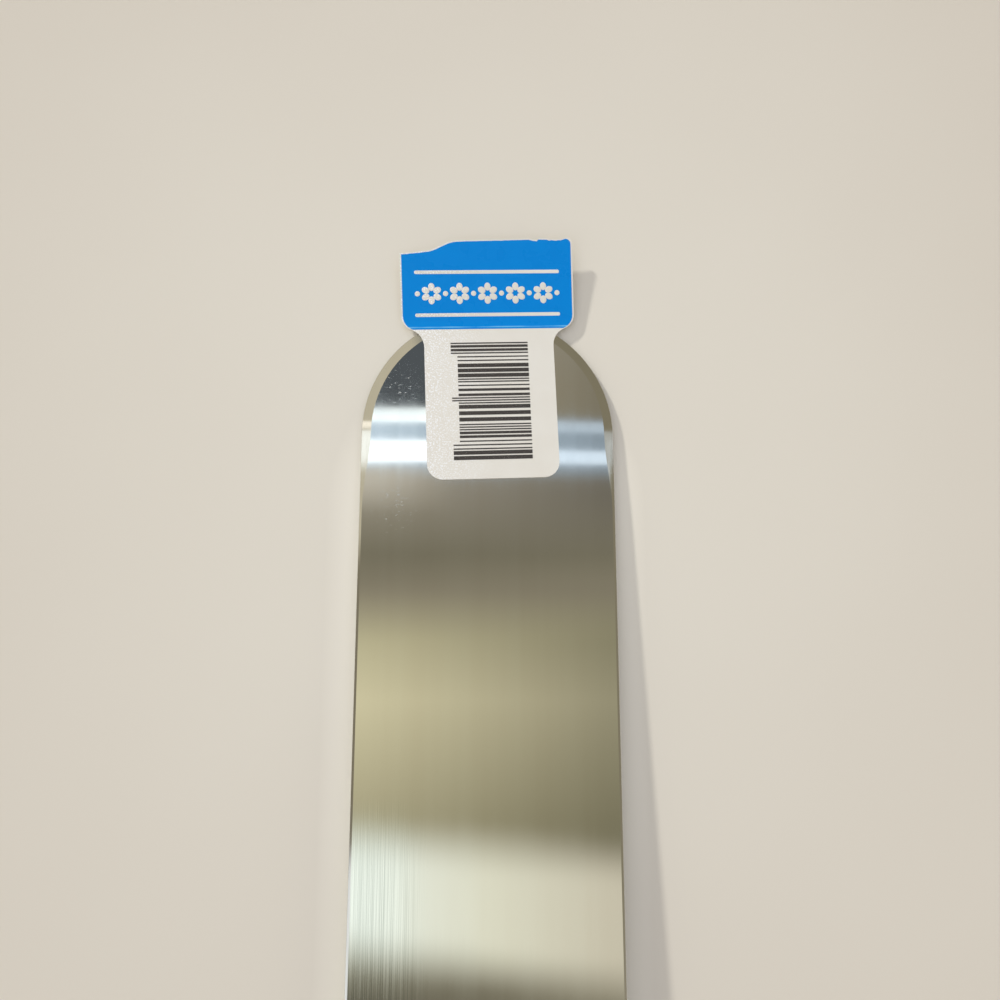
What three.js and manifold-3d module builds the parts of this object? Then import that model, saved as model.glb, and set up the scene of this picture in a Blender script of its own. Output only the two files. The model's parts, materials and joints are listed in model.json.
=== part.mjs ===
// A straight icing spatula: a polished steel blade that runs through the handle as a full tang,
// two hardwood scales held by three two-part cutler's rivets, and the paper tag it is sold with.
// Millimetres, +Z up. The blade lies level with its tip towards +Y and the tag on its upper face.

import * as THREE from 'three';
import { mergeVertices } from 'three/addons/utils/BufferGeometryUtils.js';
import Module from 'manifold-3d';

// Blade: one sheet, round at the tip, ground to a thin rim
const bladeLength = 254; // from the front of the handle to the end of the tip
const bladeWidth = 52;
const bladeThickness = 1.2;
const rimThickness = 0.5; // what the grind leaves at the rim
const tipGrind = 1.9; // width of the ground bevel round the tip
const sideGrind = 0.4; // and along the sides
const grindFade = 16; // length over which the one narrows to the other
const shoulderLength = 46; // where the sides draw in to the neck
const neckLength = 5; // straight neck just in front of the handle
const neckHold = 0.55; // share of the shoulder over which its curve still follows the neck
const sideHold = 0.7; // and over which it already follows the blade's side
const edgeBreak = 0.12; // broken edge of the neck and tang
const tangShy = 0.15; // the tang's edge lies this far inside the wood's

// Handle: two scales shaped as one grip
const handleLength = 127;
const handleThickness = 24;
const frontWidth = 25;
const swellWidth = 31;
const swellBack = 78; // from the front of the handle to its widest place
const buttWidth = 28;
const scaleFrontHeight = 4.6; // of the blunt front edge of one scale
const frontRamp = 20; // length over which a scale rises to its full thickness
const buttCorner = 10; // radius of the butt's corners, seen from above
const buttRound = 8; // length of the rounding at the butt, seen from the side
const buttDrop = 5.5; // and how far it comes down
const edgeAcross = 8; // rounding of the long edges, across the scale
const edgeDown = 8; // and down its side
const sideWall = 2; // upright side that the rounding always leaves

// Rivets: a headed socket from above, a headed pin pressed into it from below
const rivetCount = 3;
const rivetMargin = 24; // from each end of the handle to the nearest rivet
const headDiameter = 8;
const headThickness = 1.6;
const socketDiameter = 5;
const socketBore = 3.5;
const pinDiameter = 3.2;
const pinStop = 1; // free space past the pin's end in the socket
const socketStop = 0.4; // free space between the socket's end and the pin's head
const pinChamfer = 0.5;
const headClearance = 0.15; // round a head in its counterbore
const shankClearance = 0.2; // round a socket in the wood and the tang

// Tag: card glued to the blade by its tongue, its header past the tip with the top torn away
const tagThickness = 0.3;
const tagGlue = 0.05;
const tagTurn = THREE.MathUtils.degToRad(2.2);
const tagAside = -0.1; // from the blade's middle line to the tag's
const creaseBack = 3.5; // from the end of the tip back to the crease
const headerWidth = 36.5;
const headerHeight = 19.3; // from the crease to the highest part of the tear
const headerLift = THREE.MathUtils.degToRad(9.5); // how far the header is bent up
const headerCorner = 3.2;
const neckCorner = 4;
const tongueWidth = 27.2;
const tongueLength = 32.1;
const tongueCorner = 3.2;
const tearDrop = 2.2; // the tear runs this much lower at the left
const tearShelf = 5; // length of that lower stretch
const tearRun = 7; // length of the step up to the rest
const tearSlope = 0.5; // how much the rest still climbs
const tearCorner = 1.1; // radius of the corner that the tear leaves at the right

// How finely round forms are drawn
const tipSteps = 48;
const shoulderSteps = 14;
const fadeSteps = 6;
const rampSteps = 9;
const gripSteps = 12;
const buttSteps = 8;
const edgeSteps = 8;
const cornerSteps = 6;
const tearSteps = 8;
const roundSides = 32;

const scaleThickness = (handleThickness - bladeThickness) / 2;
const quarterTurn = Math.PI / 2;

const steel = { color: 0xc3c2bb, roughness: 0.16, metalness: 1 };
const wood = { color: 0x5a3320, roughness: 0.5, metalness: 0 };
const brass = { color: 0xc9a15a, roughness: 0.28, metalness: 1 };
const card = { color: 0xe4e0d6, roughness: 0.6, metalness: 0 };

const wasm = await Module();
wasm.setup();

function geometryFrom(points, faces) {
  const geometry = new THREE.BufferGeometry();
  geometry.setAttribute('position', new THREE.Float32BufferAttribute(points.flatMap((point) => point.toArray()), 3));
  geometry.setIndex(faces.flat());
  return geometry;
}

// Merges shared vertices and drops the faces that shrink to a line, as at the poles of a lathe
function weld(geometry) {
  const bare = geometry.clone();
  bare.deleteAttribute('normal');
  bare.deleteAttribute('uv');
  const merged = mergeVertices(bare);
  const index = merged.index.array;
  const kept = [];
  for (let i = 0; i < index.length; i += 3) {
    const [a, b, c] = index.slice(i, i + 3);
    if (a !== b && b !== c && c !== a) kept.push(a, b, c);
  }
  merged.setIndex(kept);
  return merged;
}

function toSolid(geometry) {
  const vertProperties = geometry.attributes.position.array;
  const triVerts = new Uint32Array(geometry.index.array);
  return new wasm.Manifold(new wasm.Mesh({ numProp: 3, vertProperties, triVerts }));
}

function fromSolid(solid) {
  const mesh = solid.getMesh();
  const geometry = new THREE.BufferGeometry();
  geometry.setAttribute('position', new THREE.Float32BufferAttribute(mesh.vertProperties, 3));
  geometry.setIndex(Array.from(mesh.triVerts));
  return geometry;
}

// Walls between loops of points that are stacked one past another, each counter-clockwise
// when seen from the last one
function wallFaces(loopCount, size, first = 0) {
  const faces = [];
  for (let loop = 0; loop < loopCount - 1; loop += 1) {
    for (let i = 0; i < size; i += 1) {
      const next = (i + 1) % size;
      const low = first + loop * size;
      const high = low + size;
      faces.push([low + i, low + next, high + next], [low + i, high + next, high + i]);
    }
  }
  return faces;
}

// Faces over a flat outline, cut into bands across Y so that no face runs from one band to another.
// A hole lies in the band that holds its first point, and its points are counted after the outline's.
function bandFaces(outline, levels, holes = []) {
  const tiny = 1e-6;
  const faces = [];
  for (let band = 0; band < levels.length - 1; band += 1) {
    const inBand = (point) => point.y > levels[band] - tiny && point.y < levels[band + 1] + tiny;
    const numbers = outline.map((point, i) => i).filter((i) => inBand(outline[i]));
    const openings = holes.filter((hole) => inBand(hole[0]));
    for (const hole of openings) {
      const start = outline.length + holes.indexOf(hole) * hole.length;
      hole.forEach((point, i) => numbers.push(start + i));
    }
    const contour = outline.filter(inBand);
    for (const face of THREE.ShapeUtils.triangulateShape(contour, openings)) {
      faces.push(face.map((corner) => numbers[corner]));
    }
  }
  return faces;
}

const reversed = (faces) => faces.map(([a, b, c]) => [c, b, a]);
const shifted = (faces, by) => faces.map((face) => face.map((corner) => corner + by));

// Half the grip's width at a distance back from its front, with the butt's corners rounded
function gripHalfWidth(back) {
  const swelling = THREE.MathUtils.smoothstep(back, 0, swellBack);
  const narrowing = THREE.MathUtils.smoothstep(back, swellBack, handleLength);
  const middle = THREE.MathUtils.lerp(frontWidth, swellWidth, swelling);
  const half = THREE.MathUtils.lerp(middle, buttWidth, narrowing) / 2;
  const intoCorner = Math.max(0, back - (handleLength - buttCorner)) / buttCorner;
  return half - buttCorner * (1 - Math.sqrt(1 - Math.min(1, intoCorner) ** 2));
}

function scaleHeight(back) {
  const climb = Math.sin(Math.min(1, back / frontRamp) * quarterTurn);
  const intoButt = Math.max(0, back - (handleLength - buttRound)) / buttRound;
  const drop = buttDrop * (1 - Math.sqrt(1 - Math.min(1, intoButt) ** 2));
  return THREE.MathUtils.lerp(scaleFrontHeight, scaleThickness, climb) - drop;
}

// Distances back from the front at which the grip is drawn
function gripStations() {
  const stations = [];
  for (let step = 0; step < rampSteps; step += 1) stations.push(frontRamp * (step / rampSteps));
  const straight = handleLength - buttCorner - frontRamp;
  for (let step = 0; step < gripSteps; step += 1) stations.push(frontRamp + straight * (step / gripSteps));
  for (let step = 0; step <= buttSteps; step += 1) {
    stations.push(handleLength - buttCorner * (1 - Math.sin((step / buttSteps) * quarterTurn)));
  }
  return stations;
}

const rivetBacks = Array.from({ length: rivetCount }, (unused, i) => {
  const pitch = (handleLength - 2 * rivetMargin) / (rivetCount - 1);
  return rivetMargin + i * pitch;
});

// The right-hand side of the blade from the butt of the tang to the end of the tip. Each point
// knows how much of the grind it has: 0 on the tang, 1 round the tip.
function bladeSide() {
  const side = [];
  const tangHalf = (back) => Math.max(gripHalfWidth(back) - tangShy, tangShy);
  const neckHalf = tangHalf(0);
  for (const back of gripStations().reverse()) {
    const inset = back === handleLength ? tangShy : 0;
    side.push({ x: tangHalf(back), y: -back + inset, grind: 0 });
  }
  const sideShare = sideGrind / tipGrind;
  const half = bladeWidth / 2;
  const drawIn = shoulderLength - neckLength;
  const shoulder = new THREE.CubicBezierCurve(
    new THREE.Vector2(neckHalf, neckLength),
    new THREE.Vector2(neckHalf, neckLength + neckHold * drawIn),
    new THREE.Vector2(half, shoulderLength - sideHold * drawIn),
    new THREE.Vector2(half, shoulderLength),
  );
  shoulder.getPoints(shoulderSteps).forEach((point, i) => {
    side.push({ x: point.x, y: point.y, grind: sideShare * (i / shoulderSteps) });
  });
  const tipCentre = bladeLength - half;
  for (let step = 0; step < fadeSteps; step += 1) {
    const along = step / fadeSteps;
    const grind = THREE.MathUtils.lerp(sideShare, 1, THREE.MathUtils.smoothstep(along, 0, 1));
    side.push({ x: half, y: tipCentre - grindFade * (1 - along), grind });
  }
  for (let step = 0; step <= tipSteps / 2; step += 1) {
    const angle = (step / tipSteps) * Math.PI;
    side.push({ x: half * Math.cos(angle), y: tipCentre + half * Math.sin(angle), grind: 1 });
  }
  return side;
}

// The whole outline, counter-clockwise, and the same outline drawn in by the width of the grind
function bladeOutline() {
  const right = bladeSide();
  const left = right.slice(0, -1).reverse().map((point) => ({ ...point, x: -point.x }));
  const rim = [...right, ...left];
  const flat = rim.map((point, i) => {
    const before = rim[(i + rim.length - 1) % rim.length];
    const after = rim[(i + 1) % rim.length];
    const inward = new THREE.Vector2(before.y - after.y, after.x - before.x).normalize();
    const width = THREE.MathUtils.lerp(edgeBreak, tipGrind, point.grind);
    return new THREE.Vector2(point.x, point.y).addScaledVector(inward, width);
  });
  const mirrored = (i) => (i < right.length ? i : 2 * (right.length - 1) - i);
  flat.forEach((point, i) => {
    point.y = flat[mirrored(i)].y;
  });
  return { rim, flat, last: right.length - 1 };
}

function bladeGeometry() {
  const { rim, flat, last } = bladeOutline();
  const size = rim.length;
  const rimHalf = (point) => THREE.MathUtils.lerp(bladeThickness / 2 - edgeBreak, rimThickness / 2, point.grind);
  const top = bladeThickness / 2;
  const points = [
    ...flat.map((point) => new THREE.Vector3(point.x, point.y, -top)),
    ...rim.map((point) => new THREE.Vector3(point.x, point.y, -rimHalf(point))),
    ...rim.map((point) => new THREE.Vector3(point.x, point.y, rimHalf(point))),
    ...flat.map((point) => new THREE.Vector3(point.x, point.y, top)),
  ];
  const faces = wallFaces(4, size);
  const holeRadius = socketDiameter / 2 + shankClearance;
  const holes = rivetBacks.map((back) => {
    const ring = [];
    for (let i = 0; i < roundSides; i += 1) {
      const angle = -(i / roundSides) * 2 * Math.PI;
      ring.push(new THREE.Vector2(holeRadius * Math.cos(angle), holeRadius * Math.sin(angle) - back));
    }
    return ring;
  });
  const lowHoles = points.length;
  for (const z of [-top, top]) {
    for (const ring of holes) ring.forEach((point) => points.push(new THREE.Vector3(point.x, point.y, z)));
  }
  const highHoles = lowHoles + holes.length * roundSides;
  holes.forEach((ring, hole) => {
    for (let i = 0; i < roundSides; i += 1) {
      const next = (i + 1) % roundSides;
      const low = lowHoles + hole * roundSides;
      const high = highHoles + hole * roundSides;
      faces.push([low + i, low + next, high + next], [low + i, high + next, high + i]);
    }
  });
  const tangEnd = gripStations().length - 1;
  const shoulderEnd = tangEnd + 1 + shoulderSteps;
  const tipStart = shoulderEnd + fadeSteps + 1;
  const levels = [0, tangEnd, shoulderEnd, tipStart, last].map((i) => flat[i].y);
  const lid = bandFaces(flat, levels, holes);
  const onLoop = (loopStart, holeStart) => (corner) =>
    corner < size ? loopStart + corner : holeStart + corner - size;
  faces.push(...lid.map((face) => face.map(onLoop(3 * size, highHoles))));
  faces.push(...reversed(lid).map((face) => face.map(onLoop(0, lowHoles))));
  return geometryFrom(points, faces);
}

// Half of a section across the upper scale, standing on the tang, seen from the butt
function scaleSection(back) {
  const half = gripHalfWidth(back);
  const height = scaleHeight(back);
  const across = Math.min(edgeAcross, half - tangShy);
  const down = Math.min(edgeDown, height - sideWall);
  const section = [new THREE.Vector2(half, 0)];
  for (let step = 0; step <= edgeSteps; step += 1) {
    const angle = (step / edgeSteps) * quarterTurn;
    section.push(new THREE.Vector2(
      half - across * (1 - Math.cos(angle)),
      height - down * (1 - Math.sin(angle)),
    ));
  }
  const mirrored = section.map((point) => new THREE.Vector2(-point.x, point.y)).reverse();
  return [...section, ...mirrored];
}

// A shape turned round a vertical axis from its radius at each height
function turned(profile) {
  const points = profile.map(([radius, height]) => new THREE.Vector2(radius, height));
  const geometry = new THREE.LatheGeometry(points, roundSides);
  geometry.rotateX(quarterTurn);
  return weld(geometry);
}

// The upper scale, its flat side at Z 0, with a counterbored hole for each rivet
function scaleGeometry() {
  const stations = gripStations();
  const sections = stations.map(scaleSection);
  const size = sections[0].length;
  const points = sections.flatMap((section, i) =>
    section.map((point) => new THREE.Vector3(point.x, -stations[i], point.y)));
  const lid = (section) => THREE.ShapeUtils.triangulateShape(section, []);
  const faces = [
    ...wallFaces(sections.length, size),
    ...reversed(lid(sections[0])),
    ...shifted(lid(sections.at(-1)), (sections.length - 1) * size),
  ];
  let body = toSolid(geometryFrom(points, faces));
  const shank = socketDiameter / 2 + shankClearance;
  const counterbore = headDiameter / 2 + headClearance;
  const past = scaleThickness; // the cutter runs on past both faces
  const cutter = turned([
    [0, -past],
    [shank, -past],
    [shank, scaleThickness - headThickness],
    [counterbore, scaleThickness - headThickness],
    [counterbore, scaleThickness + past],
    [0, scaleThickness + past],
  ]);
  for (const back of rivetBacks) {
    const placed = cutter.clone().translate(0, -back, 0);
    body = body.subtract(toSolid(placed));
  }
  return fromSolid(body);
}

// Heights of both rivet halves are from the blade's middle, the socket's head uppermost
const headSeat = handleThickness / 2 - headThickness;

function socketGeometry() {
  const tube = socketDiameter / 2;
  const bore = socketBore / 2;
  const mouth = -headSeat + socketStop;
  return turned([
    [0, headSeat],
    [bore, headSeat],
    [bore, mouth],
    [tube, mouth],
    [tube, headSeat],
    [headDiameter / 2, headSeat],
    [headDiameter / 2, handleThickness / 2],
    [0, handleThickness / 2],
  ]);
}

function pinGeometry() {
  const shank = pinDiameter / 2;
  const end = headSeat - pinStop;
  return turned([
    [0, -handleThickness / 2],
    [headDiameter / 2, -handleThickness / 2],
    [headDiameter / 2, -headSeat],
    [shank, -headSeat],
    [shank, end - pinChamfer],
    [shank - pinChamfer, end],
    [0, end],
  ]);
}

function arc(centreX, centreY, radius, from, to) {
  const points = [];
  for (let step = 0; step <= cornerSteps; step += 1) {
    const angle = THREE.MathUtils.lerp(from, to, step / cornerSteps);
    points.push(new THREE.Vector2(centreX + radius * Math.cos(angle), centreY + radius * Math.sin(angle)));
  }
  return points;
}

// The tag cut flat, counter-clockwise, with Y counted from the crease. Its neck is drawn in by two
// arcs that meet at the crease.
function tagOutline() {
  const step = (headerWidth - tongueWidth) / 2;
  const swing = Math.acos(1 - step / (headerCorner + neckCorner));
  const neckDrop = neckCorner * Math.sin(swing);
  const cornerRise = headerCorner * Math.sin(swing);
  const tongue = tongueWidth / 2;
  const header = headerWidth / 2;
  const right = [
    ...arc(tongue - tongueCorner, tongueCorner - tongueLength, tongueCorner, -quarterTurn, 0),
    ...arc(tongue + neckCorner, -neckDrop, neckCorner, Math.PI, Math.PI - swing),
    ...arc(header - headerCorner, cornerRise, headerCorner, -swing, 0).slice(1),
  ];
  const left = right.map((point) => new THREE.Vector2(-point.x, point.y)).reverse();
  const tear = [];
  const shelfEnd = -header + tearShelf;
  const lower = headerHeight - tearSlope;
  for (let i = tearSteps; i >= 0; i -= 1) {
    const along = i / tearSteps;
    const drop = tearDrop * (1 - THREE.MathUtils.smoothstep(along, 0, 1));
    tear.push(new THREE.Vector2(shelfEnd + tearRun * along, lower - drop));
  }
  const top = [
    ...arc(header - tearCorner, headerHeight - tearCorner, tearCorner, 0, quarterTurn),
    ...tear,
    new THREE.Vector2(-header, lower - tearDrop - tearSlope),
  ];
  const bend = right.slice(-cornerSteps - 1).map((point) => point.y);
  return { outline: [...right, ...top, ...left], bend, cornerRise };
}

// The tongue lies flat. Past the crease the card bends up over the height of the header's corners,
// and the rest of the header is straight again.
function tagGeometry() {
  const { outline, bend, cornerRise } = tagOutline();
  const bendRadius = cornerRise / headerLift;
  const bent = (point, rise) => {
    const angle = THREE.MathUtils.clamp(point.y / bendRadius, 0, headerLift);
    const straight = point.y - angle * bendRadius;
    const y = bendRadius * Math.sin(angle) + straight * Math.cos(angle) - rise * Math.sin(angle);
    const z = bendRadius * (1 - Math.cos(angle)) + straight * Math.sin(angle) + rise * Math.cos(angle);
    return new THREE.Vector3(point.x, y, z);
  };
  const points = [
    ...outline.map((point) => bent(point, 0)),
    ...outline.map((point) => bent(point, tagThickness)),
  ];
  const lid = bandFaces(outline, [-tongueLength, ...bend, headerHeight]);
  const faces = [
    ...wallFaces(2, outline.length),
    ...reversed(lid),
    ...shifted(lid, outline.length),
  ];
  return geometryFrom(points, faces);
}

function part(name, geometry, finish) {
  const mesh = new THREE.Mesh(geometry, new THREE.MeshStandardMaterial(finish));
  mesh.name = name;
  return mesh;
}

const spatula = new THREE.Group();
spatula.add(part('blade', bladeGeometry(), steel));

const upperScale = part('handle_scale_upper', scaleGeometry(), wood);
upperScale.position.z = bladeThickness / 2;
spatula.add(upperScale);

const lowerScale = part('handle_scale_lower', scaleGeometry(), wood);
lowerScale.position.z = -bladeThickness / 2;
lowerScale.rotation.y = Math.PI;
spatula.add(lowerScale);

rivetBacks.forEach((back, i) => {
  const socket = part(`rivet_${i + 1}_socket`, socketGeometry(), brass);
  const pin = part(`rivet_${i + 1}_pin`, pinGeometry(), brass);
  socket.position.y = -back;
  pin.position.y = -back;
  spatula.add(socket, pin);
});

const tag = part('hang_tag', tagGeometry(), card);
tag.position.set(tagAside, bladeLength - creaseBack, bladeThickness / 2 + tagGlue);
tag.rotation.z = tagTurn;
spatula.add(tag);

// The origin is under the middle of the whole part, level with the flat underside of the handle
const box = new THREE.Box3().setFromObject(spatula, true);
spatula.position.set(0, -(box.min.y + box.max.y) / 2, -box.min.z);

export default spatula;
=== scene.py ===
"""Looks of a straight icing spatula: polished blade, riveted wooden handle and torn paper tag."""

import json
import math

import bpy
from mathutils import Matrix, Vector

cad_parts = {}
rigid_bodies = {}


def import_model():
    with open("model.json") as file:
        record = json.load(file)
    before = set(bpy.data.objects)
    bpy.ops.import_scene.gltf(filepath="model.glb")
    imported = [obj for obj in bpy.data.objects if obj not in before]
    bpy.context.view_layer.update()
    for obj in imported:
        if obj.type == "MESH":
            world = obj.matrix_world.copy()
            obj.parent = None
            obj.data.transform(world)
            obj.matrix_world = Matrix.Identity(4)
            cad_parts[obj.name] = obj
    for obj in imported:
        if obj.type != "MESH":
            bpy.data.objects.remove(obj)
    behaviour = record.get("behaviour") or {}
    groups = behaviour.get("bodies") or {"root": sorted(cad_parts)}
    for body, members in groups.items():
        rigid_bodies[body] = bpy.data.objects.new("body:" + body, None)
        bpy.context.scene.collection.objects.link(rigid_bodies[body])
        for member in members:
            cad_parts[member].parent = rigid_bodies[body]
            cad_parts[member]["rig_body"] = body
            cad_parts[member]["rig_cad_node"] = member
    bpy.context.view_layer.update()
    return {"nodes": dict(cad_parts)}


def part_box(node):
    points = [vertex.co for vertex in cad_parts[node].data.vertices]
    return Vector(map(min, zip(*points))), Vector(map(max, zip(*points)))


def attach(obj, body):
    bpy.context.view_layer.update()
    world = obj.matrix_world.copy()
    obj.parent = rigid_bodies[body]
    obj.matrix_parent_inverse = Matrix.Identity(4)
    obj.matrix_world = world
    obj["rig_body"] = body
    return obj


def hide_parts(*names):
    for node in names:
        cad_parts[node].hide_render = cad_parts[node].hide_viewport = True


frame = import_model()
MM = 0.001

# Blade
# One sheet of stainless steel, cut round at the tip, ground thin at the rim and polished along its
# length. It runs on through the handle as the tang, where the rivets pass through it.

RIM_ROUNDING = 0.06 * MM
MERGE_REACH = 0.001 * MM
FLAT_TURN = math.radians(0.05)  # faces that turn less than this are made one


def linear(hex_colour):
    """The linear colour of an sRGB hex value."""
    channels = [int(hex_colour[i : i + 2], 16) / 255 for i in (1, 3, 5)]
    bright = [c / 12.92 if c <= 0.04045 else ((c + 0.055) / 1.055) ** 2.4 for c in channels]
    return (*bright, 1.0)


def add_node(tree, kind, inputs=None, stops=(), **settings):
    """A node with its settings. An input is a value, or a node's output to link from.

    Stops are those of a colour ramp, each a position and a hex colour.
    """
    node = tree.nodes.new(kind)
    for name, value in settings.items():
        setattr(node, name, value)
    for name, value in (inputs or {}).items():
        if isinstance(value, bpy.types.NodeSocket):
            tree.links.new(value, node.inputs[name])
        else:
            node.inputs[name].default_value = value
    if stops:
        elements = node.color_ramp.elements
        while len(elements) < len(stops):
            elements.new(1.0)
        for element, (position, colour) in zip(elements, stops):
            element.position = position
            element.color = linear(colour)
    return node


def new_material(name):
    """An empty node material and its node tree."""
    material = bpy.data.materials.new(name)
    material.use_nodes = True
    material.node_tree.nodes.clear()
    return material, material.node_tree


def select_only(piece):
    """Leaves one object selected and active."""
    bpy.ops.object.select_all(action="DESELECT")
    piece.select_set(True)
    bpy.context.view_layer.objects.active = piece


def copy_of_node(node, name):
    """A merged copy of a CAD node, ready to be worked on as a piece of its own."""
    select_only(frame["nodes"][node])
    bpy.ops.object.duplicate()
    piece = bpy.context.view_layer.objects.active
    piece.name = name
    piece.parent = None
    del piece["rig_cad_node"]
    del piece["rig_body"]
    bpy.ops.object.mode_set(mode="EDIT")
    bpy.ops.mesh.select_all(action="SELECT")
    bpy.ops.mesh.remove_doubles(threshold=MERGE_REACH)
    bpy.ops.mesh.dissolve_limited(angle_limit=FLAT_TURN)
    bpy.ops.object.mode_set(mode="OBJECT")
    bpy.ops.mesh.customdata_custom_splitnormals_clear()
    return piece


def apply_modifier(piece, kind, **settings):
    """Adds a modifier with its settings and applies it."""
    select_only(piece)
    modifier = piece.modifiers.new(kind.lower(), kind)
    for name, value in settings.items():
        setattr(modifier, name, value)
    bpy.ops.object.modifier_apply(modifier=modifier.name)


def smooth(piece, angle):
    """Smooth shading across edges that turn less than the angle, kept flat where faces are large."""
    select_only(piece)
    bpy.ops.object.shade_smooth_by_angle(angle=math.radians(angle))
    apply_modifier(piece, "WEIGHTED_NORMAL", keep_sharp=True, weight=50)


def dress(piece, material, slot, *nodes):
    """Gives a piece its material, attaches it to the root body and hides the CAD nodes it stands in
    for.
    """
    piece.data.materials.clear()
    piece.data.materials.append(material)
    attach(piece, "root")
    if nodes:
        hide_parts(*nodes)


blade_low, blade_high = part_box("blade")
blade = copy_of_node("blade", "polished_blade")
apply_modifier(
    blade,
    "BEVEL",
    width=RIM_ROUNDING,
    segments=2,
    limit_method="ANGLE",
    angle_limit=math.radians(30),
)
smooth(blade, 6)

# Stainless steel, belt ground and then polished along the blade: a clear mirror with hair-fine
# lengthwise lines and soft bands. The lines show most along the left edge behind the middle, where the
# polish is thin. The sheet is not quite flat, and two light scuffs by the tag break the mirror.
LINE_WIDTH = 0.1 * MM  # drawn coarser than the real lines, so that they show
LINE_LENGTH = 40 * MM
BAND_WIDTH = 5 * MM
BAND_LENGTH = 150 * MM
WAVE = 70 * MM
WAVE_HEIGHT = 0.12 * MM
LINE_DEPTH = 0.002 * MM
THIN_POLISH_ASIDE = (-11 * MM, -17 * MM)  # the polish gets thin over this stretch
THIN_POLISH_BACK = (97 * MM, 106 * MM)  # and over this one, back from the tip
SCUFF_REACH = (6 * MM, 2 * MM)  # from its middle, none and all of a scuff
SCUFF_LENGTH = 1.0 * MM
SCUFF_WIDTH = 0.35 * MM
SCUFF_SPOTS = ((-19 * MM, 42 * MM), (-18.9 * MM, 15.5 * MM))  # aside, and back from the tip
steel, tree = new_material("stainless_steel_mirror_polished_lengthwise")
place = add_node(tree, "ShaderNodeTexCoord").outputs["Object"]
spot = add_node(tree, "ShaderNodeSeparateXYZ", {0: place})
lines_place = add_node(
    tree,
    "ShaderNodeMapping",
    {"Vector": place, "Scale": (1 / LINE_WIDTH, 1 / LINE_LENGTH, 1)},
)
lines = add_node(
    tree,
    "ShaderNodeTexNoise",
    {"Vector": lines_place.outputs[0], "Scale": 1.0, "Detail": 3.0, "Roughness": 0.6},
)
bands_place = add_node(
    tree, "ShaderNodeMapping", {"Vector": place, "Scale": (1 / BAND_WIDTH, 1 / BAND_LENGTH, 1)}
)
bands = add_node(
    tree, "ShaderNodeTexNoise", {"Vector": bands_place.outputs[0], "Scale": 1.0, "Detail": 2.0}
)
polish = add_node(
    tree,
    "ShaderNodeMapRange",
    {
        "Value": bands.outputs[0],
        "From Min": 0.35,
        "From Max": 0.65,
        "To Min": 0.035,
        "To Max": 0.055,
    },
)
by_edge = add_node(
    tree,
    "ShaderNodeMapRange",
    {
        "Value": spot.outputs["X"],
        "From Min": THIN_POLISH_ASIDE[0],
        "From Max": THIN_POLISH_ASIDE[1],
    },
)
behind_middle = add_node(
    tree,
    "ShaderNodeMapRange",
    {
        "Value": spot.outputs["Y"],
        "From Min": blade_high.y - THIN_POLISH_BACK[0],
        "From Max": blade_high.y - THIN_POLISH_BACK[1],
    },
)
thin_polish = add_node(
    tree,
    "ShaderNodeMath",
    {0: by_edge.outputs[0], 1: behind_middle.outputs[0]},
    operation="MULTIPLY",
)
line_blur = add_node(
    tree,
    "ShaderNodeMapRange",
    {"Value": lines.outputs[0], "From Min": 0.38, "From Max": 0.62, "To Min": 0.0, "To Max": 0.045},
)
line_share = add_node(
    tree, "ShaderNodeMapRange", {"Value": thin_polish.outputs[0], "To Min": 0.35, "To Max": 1.0}
)
blur = add_node(
    tree,
    "ShaderNodeMath",
    {0: line_blur.outputs[0], 1: line_share.outputs[0], 2: polish.outputs[0]},
    operation="MULTIPLY_ADD",
)
distances = []
for aside, back in SCUFF_SPOTS:
    scuff_middle = (aside, blade_high.y - back, blade_high.z)
    distance = add_node(
        tree,
        "ShaderNodeVectorMath",
        {0: place, 1: scuff_middle},
        operation="DISTANCE",
    )
    distances.append(distance.outputs["Value"])
nearest = add_node(tree, "ShaderNodeMath", {0: distances[0], 1: distances[1]}, operation="MINIMUM")
in_reach = add_node(
    tree,
    "ShaderNodeMapRange",
    {"Value": nearest.outputs[0], "From Min": SCUFF_REACH[0], "From Max": SCUFF_REACH[1]},
)
scuff_place = add_node(
    tree, "ShaderNodeMapping", {"Vector": place, "Scale": (1 / SCUFF_LENGTH, 1 / SCUFF_WIDTH, 1)}
)
specks = add_node(
    tree, "ShaderNodeTexNoise", {"Vector": scuff_place.outputs[0], "Scale": 1.0, "Detail": 3.0}
)
deep_specks = add_node(
    tree,
    "ShaderNodeMapRange",
    {"Value": specks.outputs[0], "From Min": 0.61, "From Max": 0.72, "To Min": 0.0, "To Max": 0.35},
)
scuffs = add_node(
    tree,
    "ShaderNodeMath",
    {0: deep_specks.outputs[0], 1: in_reach.outputs[0]},
    operation="MULTIPLY",
)
scuffed = add_node(
    tree,
    "ShaderNodeMath",
    {0: blur.outputs[0], 1: scuffs.outputs[0]},
    operation="ADD",
)
tint = add_node(
    tree,
    "ShaderNodeValToRGB",
    {"Fac": bands.outputs[0]},
    stops=((0.3, "#d5d3cd"), (0.7, "#d8d7d2")),
)
line_tint = add_node(
    tree,
    "ShaderNodeValToRGB",
    {"Fac": lines.outputs[0]},
    stops=((0.38, "#c2c5c1"), (0.62, "#e9eae7")),
)
lined_tint = add_node(
    tree,
    "ShaderNodeMix",
    {"Factor": thin_polish.outputs[0], 6: tint.outputs[0], 7: line_tint.outputs[0]},
    data_type="RGBA",
)
waves = add_node(tree, "ShaderNodeTexNoise", {"Vector": place, "Scale": 1 / WAVE, "Detail": 2.0})
wavy = add_node(
    tree,
    "ShaderNodeBump",
    {"Height": waves.outputs[0], "Strength": 1.0, "Distance": WAVE_HEIGHT},
)
brushed = add_node(
    tree,
    "ShaderNodeBump",
    {
        "Height": lines.outputs[0],
        "Strength": 0.5,
        "Distance": LINE_DEPTH,
        "Normal": wavy.outputs[0],
    },
)
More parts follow.
